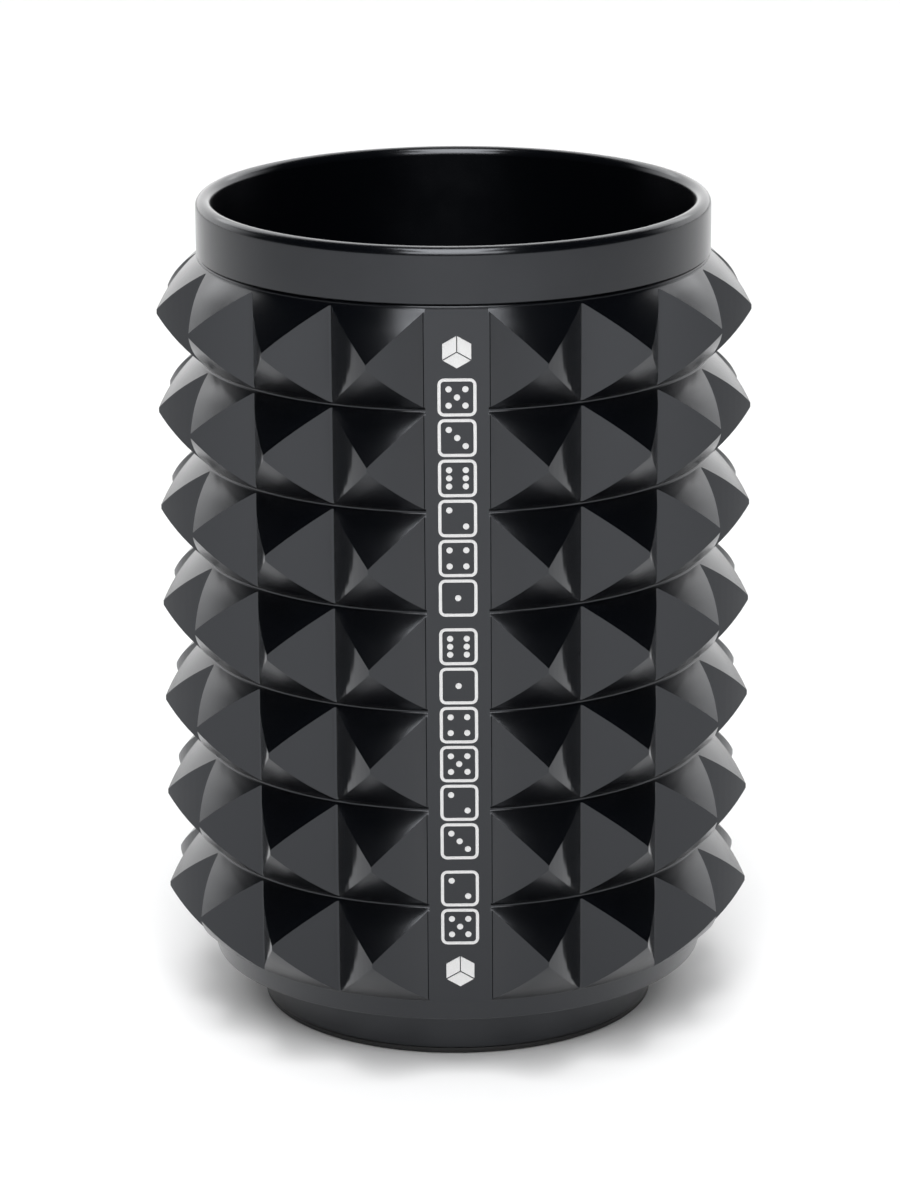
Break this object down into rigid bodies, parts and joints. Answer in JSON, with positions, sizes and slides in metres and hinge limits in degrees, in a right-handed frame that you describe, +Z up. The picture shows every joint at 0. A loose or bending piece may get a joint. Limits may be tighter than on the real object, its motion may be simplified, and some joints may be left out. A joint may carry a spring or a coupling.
{
  "type": "dice cup",
  "caption": "Round straight-sided metal dice cup with a rounded lip, a studded outer sleeve with one flat strip down its front, and a narrower foot.",
  "frame": {"origin": "middle of the foot's underside, on the cup's axis, in the plane of the table it stands on", "axes": "+Z up along the cup's axis, -Y out of the flat strip on the front, +X to the right of someone facing the strip"},
  "size_m": [0.0824, 0.0807, 0.1167],
  "materials": {
    "anodised_aluminium": "satin black anodised over fine turning and milling marks",
    "rubber_pad": "matt black",
    "leather_pad": "matt black with a fine grain",
    "screw_steel": "plain bright steel"
  },
  "bodies": {
    "root": {"studded_sleeve": "anodised_aluminium", "inner_cup": "anodised_aluminium", "base_foot": "anodised_aluminium", "foot_pad": "rubber_pad", "floor_pad": "leather_pad", "base_screw_1": "screw_steel", "base_screw_2": "screw_steel", "base_screw_3": "screw_steel", "base_screw_4": "screw_steel"}
  },
  "joints": []
}
